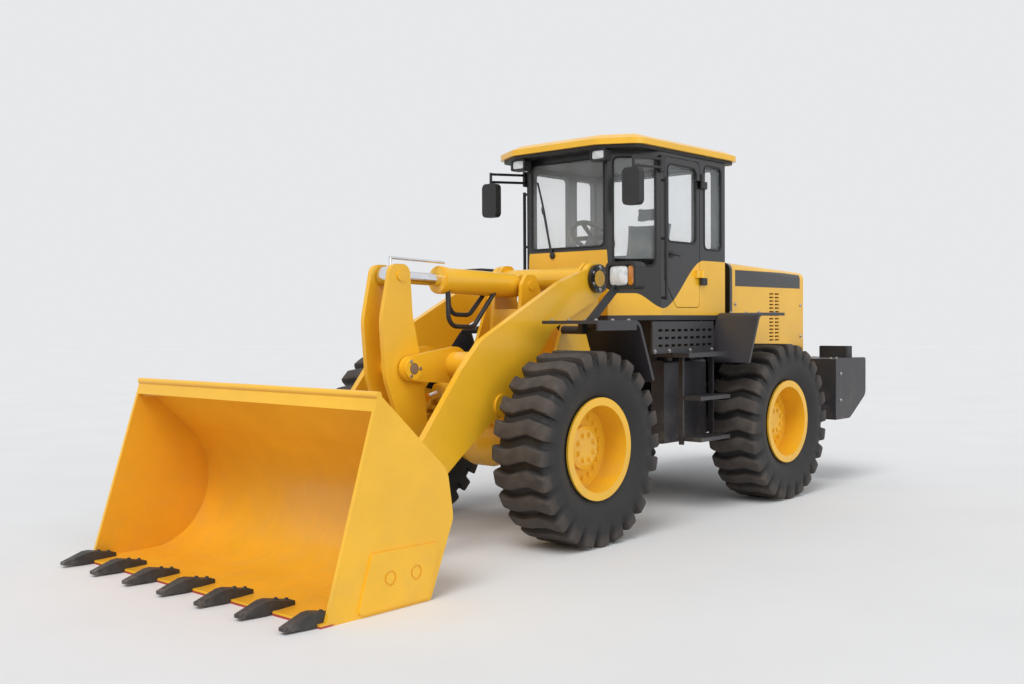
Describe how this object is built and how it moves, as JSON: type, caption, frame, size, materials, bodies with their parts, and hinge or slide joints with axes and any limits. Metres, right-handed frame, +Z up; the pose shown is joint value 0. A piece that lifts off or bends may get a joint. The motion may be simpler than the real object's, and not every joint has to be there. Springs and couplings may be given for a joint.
{
  "type": "articulated wheel loader",
  "caption": "Articulated wheel loader with a Z-bar bucket linkage, hollow cab with a hinged door, lugged tyres and working lift, tilt and steering cylinders.",
  "frame": {"origin": "middle of the footprint's box on the ground", "axes": "+X forward to the bucket, +Y left, +Z up"},
  "size_m": [7.04, 2.46, 3.01],
  "materials": {
    "yellow_paint": "semi-gloss machine paint",
    "charcoal_paint": "satin dark grey paint",
    "bucket_paint": "worn semi-gloss machine paint",
    "tyre": "dusty rubber",
    "glass": "clear tinted glass",
    "chrome_rod": "polished hard chrome",
    "dark_cast": "dark cast metal",
    "seat_fabric": "grey-green woven cloth",
    "black_plastic": "black moulded plastic",
    "pin_steel": "bare turned steel"
  },
  "bodies": {
    "rear_frame": {"cab_floor": "charcoal_paint", "cab_front": "yellow_paint", "cab_glass": "glass", "cab_rear": "yellow_paint", "cab_roof": "yellow_paint", "cab_side_left": "yellow_paint", "cab_side_right": "yellow_paint", "counterweight": "charcoal_paint", "door_hinges": "charcoal_paint", "engine_block": "dark_cast", "gearbox": "charcoal_paint", "grab_rails": "black_plastic", "hood": "yellow_paint", "hood_grille": "charcoal_paint", "mirrors": "black_plastic", "rear_axle": "charcoal_paint", "rear_fenders": "charcoal_paint", "rear_frame": "charcoal_paint", "rear_lamps": "black_plastic", "roof_lamps": "black_plastic", "roof_liner": "black_plastic", "seat": "seat_fabric", "side_tanks": "charcoal_paint", "steering_column": "black_plastic", "steps": "charcoal_paint"},
    "front_frame": {"front_frame": "yellow_paint", "front_axle": "charcoal_paint", "front_shaft": "charcoal_paint", "front_fenders": "charcoal_paint", "headlamps": "black_plastic"},
    "boom": {"boom_arms": "yellow_paint", "boom_crossbeam": "yellow_paint"},
    "bucket_pins": {"bucket_pins": "pin_steel"},
    "bucket": {"bucket": "bucket_paint", "bucket_teeth": "dark_cast"},
    "rocker_pin": {"rocker_pin": "pin_steel"},
    "rocker": {"rocker": "yellow_paint"},
    "link_pin": {"link_pin": "pin_steel"},
    "link": {"link": "yellow_paint"},
    "tilt_barrel": {"tilt_barrel": "yellow_paint", "tilt_hoses": "black_plastic"},
    "tilt_rod": {"tilt_rod": "chrome_rod"},
    "door": {"door": "yellow_paint", "door_glass": "glass"},
    "lift_barrel_left": {"lift_barrel_left": "yellow_paint"},
    "lift_rod_left": {"lift_rod_left": "chrome_rod"},
    "steer_barrel_left": {"steer_barrel_left": "charcoal_paint"},
    "steer_rod_left": {"steer_rod_left": "chrome_rod"},
    "lift_barrel_right": {"lift_barrel_right": "yellow_paint"},
    "lift_rod_right": {"lift_rod_right": "chrome_rod"},
    "steer_barrel_right": {"steer_barrel_right": "charcoal_paint"},
    "steer_rod_right": {"steer_rod_right": "chrome_rod"},
    "wheel_front_left": {"rim_front_left": "yellow_paint", "tyre_front_left": "tyre"},
    "wheel_front_right": {"rim_front_right": "yellow_paint", "tyre_front_right": "tyre"},
    "wheel_rear_left": {"rim_rear_left": "yellow_paint", "tyre_rear_left": "tyre"},
    "wheel_rear_right": {"rim_rear_right": "yellow_paint", "tyre_rear_right": "tyre"}
  },
  "joints": [
    {"name": "articulation", "type": "hinge", "parent": "rear_frame", "child": "front_frame", "pos_m": [-0.57, 0, 0.8], "axis": [0, 0, 1], "range_deg": [-35, 35]},
    {"name": "wheel_front_left_spin", "type": "hinge", "parent": "front_frame", "child": "wheel_front_left", "pos_m": [0.78, 0.875, 0.675], "axis": [0, 1, 0], "continuous": true},
    {"name": "wheel_front_right_spin", "type": "hinge", "parent": "front_frame", "child": "wheel_front_right", "pos_m": [0.78, -0.875, 0.675], "axis": [0, 1, 0], "continuous": true},
    {"name": "wheel_rear_left_spin", "type": "hinge", "parent": "rear_frame", "child": "wheel_rear_left", "pos_m": [-1.92, 0.875, 0.675], "axis": [0, 1, 0], "continuous": true},
    {"name": "wheel_rear_right_spin", "type": "hinge", "parent": "rear_frame", "child": "wheel_rear_right", "pos_m": [-1.92, -0.875, 0.675], "axis": [0, 1, 0], "continuous": true},
    {"name": "boom_lift", "type": "hinge", "parent": "front_frame", "child": "boom", "pos_m": [0.08, 0, 1.88], "axis": [0, 1, 0], "range_deg": [-80, 0]},
    {"name": "bucket_level", "type": "hinge", "parent": "boom", "child": "bucket_pins", "pos_m": [2.21, 0, 0.33], "axis": [0, -1, 0], "range_deg": [-80.5, 0.5]},
    {"name": "bucket_tilt", "type": "hinge", "parent": "bucket_pins", "child": "bucket", "pos_m": [2.21, 0, 0.33], "axis": [0, -1, 0], "range_deg": [-45, 45]},
    {"name": "rocker_level", "type": "hinge", "parent": "boom", "child": "rocker_pin", "pos_m": [1.699, 0, 1.238], "axis": [0, -1, 0], "range_deg": [-0.5, 31.45]},
    {"name": "rocker_swing", "type": "hinge", "parent": "rocker_pin", "child": "rocker", "pos_m": [1.699, 0, 1.238], "axis": [0, -1, 0], "range_deg": [-17.2, 17.2]},
    {"name": "link_level", "type": "hinge", "parent": "bucket", "child": "link_pin", "pos_m": [2.265, 0, 0.6], "axis": [0, -1, 0], "range_deg": [-0.5, 41.93]},
    {"name": "link_swing", "type": "hinge", "parent": "link_pin", "child": "link", "pos_m": [2.265, 0, 0.6], "axis": [0, -1, 0], "range_deg": [-44.13, 44.13]},
    {"name": "tilt_barrel_swing", "type": "hinge", "parent": "front_frame", "child": "tilt_barrel", "pos_m": [0.45, 0, 1.83], "axis": [0, -1, 0], "range_deg": [-0.5, 90.02]},
    {"name": "tilt_rod_slide", "type": "slide", "parent": "tilt_barrel", "child": "tilt_rod", "axis": [0.9995, 0, 0.0307], "range_m": [-0.1336, 0.1336]},
    {"name": "lift_barrel_left_swing", "type": "hinge", "parent": "front_frame", "child": "lift_barrel_left", "pos_m": [-0.07, 0.32, 1.27], "axis": [0, -1, 0], "range_deg": [-0.5, 66.96]},
    {"name": "lift_rod_left_slide", "type": "slide", "parent": "lift_barrel_left", "child": "lift_rod_left", "axis": [0.9715, 0, -0.237], "range_m": [-0.005, 0.7371]},
    {"name": "lift_barrel_right_swing", "type": "hinge", "parent": "front_frame", "child": "lift_barrel_right", "pos_m": [-0.07, -0.32, 1.27], "axis": [0, -1, 0], "range_deg": [-0.5, 66.96]},
    {"name": "lift_rod_right_slide", "type": "slide", "parent": "lift_barrel_right", "child": "lift_rod_right", "axis": [0.9715, 0, -0.237], "range_m": [-0.005, 0.7371]},
    {"name": "steer_barrel_left_swing", "type": "hinge", "parent": "rear_frame", "child": "steer_barrel_left", "pos_m": [-1.22, 0.36, 0.8], "axis": [0, 0, 1], "range_deg": [-11.28, 11.28]},
    {"name": "steer_rod_left_slide", "type": "slide", "parent": "steer_barrel_left", "child": "steer_rod_left", "axis": [0.9998, -0.0206, 0], "range_m": [-0.212, 0.212]},
    {"name": "steer_barrel_right_swing", "type": "hinge", "parent": "rear_frame", "child": "steer_barrel_right", "pos_m": [-1.22, -0.36, 0.8], "axis": [0, 0, 1], "range_deg": [-11.28, 11.28]},
    {"name": "steer_rod_right_slide", "type": "slide", "parent": "steer_barrel_right", "child": "steer_rod_right", "axis": [0.9998, 0.0206, 0], "range_m": [-0.212, 0.212]},
    {"name": "door_swing", "type": "hinge", "parent": "rear_frame", "child": "door", "pos_m": [-1.07, 0.724, 2.2], "axis": [0, 0, 1], "range_deg": [0, 120]}
  ],
  "couplings": [
    {"joint": "bucket_level", "follows": "boom_lift", "ratio": 1},
    {"joint": "rocker_level", "follows": "boom_lift", "ratio": -0.38683},
    {"joint": "rocker_swing", "follows": "bucket_tilt", "ratio": -0.37112},
    {"joint": "link_level", "follows": "boom_lift", "ratio": -0.51786},
    {"joint": "link_swing", "follows": "bucket_tilt", "ratio": -0.9696},
    {"joint": "tilt_barrel_swing", "follows": "boom_lift", "ratio": -1.119},
    {"joint": "tilt_rod_slide", "follows": "bucket_tilt", "m_per_rad": 0.16368},
    {"joint": "lift_barrel_left_swing", "follows": "boom_lift", "ratio": -0.83079},
    {"joint": "lift_rod_left_slide", "follows": "boom_lift", "m_per_rad": -0.52435},
    {"joint": "lift_barrel_right_swing", "follows": "boom_lift", "ratio": -0.83079},
    {"joint": "lift_rod_right_slide", "follows": "boom_lift", "m_per_rad": -0.52435},
    {"joint": "steer_barrel_left_swing", "follows": "articulation", "ratio": 0.30803},
    {"joint": "steer_rod_left_slide", "follows": "articulation", "m_per_rad": -0.33893},
    {"joint": "steer_barrel_right_swing", "follows": "articulation", "ratio": 0.30803},
    {"joint": "steer_rod_right_slide", "follows": "articulation", "m_per_rad": 0.33893}
  ]
}
